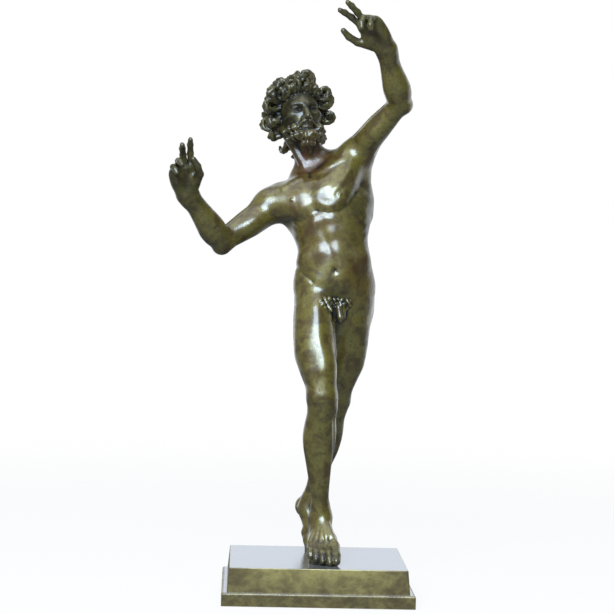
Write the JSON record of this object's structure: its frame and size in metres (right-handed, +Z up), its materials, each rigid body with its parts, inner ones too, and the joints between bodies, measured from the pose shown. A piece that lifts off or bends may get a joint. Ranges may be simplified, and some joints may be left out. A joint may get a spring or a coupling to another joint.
{
  "type": "bronze faun statue",
  "caption": "Bronze dancing faun on tiptoe with both arms raised, standing on a stepped rectangular plinth.",
  "frame": {"origin": "middle of the plinth's underside, on the surface that the statue stands on", "axes": "+Z up along the standing figure; the figure faces -Y; +X is to the figure's left, which is the viewer's right from the front"},
  "size_m": [0.338, 0.2545, 0.7988],
  "materials": {
    "figure_bronze": "polished cast bronze with an olive-brown patina, dark in the hollows and worn bright on the heights",
    "plinth_bronze": "cast bronze with an olive-brown patina, polished on top and streaked down its sides"
  },
  "bodies": {
    "root": {"faun_figure": "figure_bronze", "plinth": "plinth_bronze"}
  },
  "joints": []
}
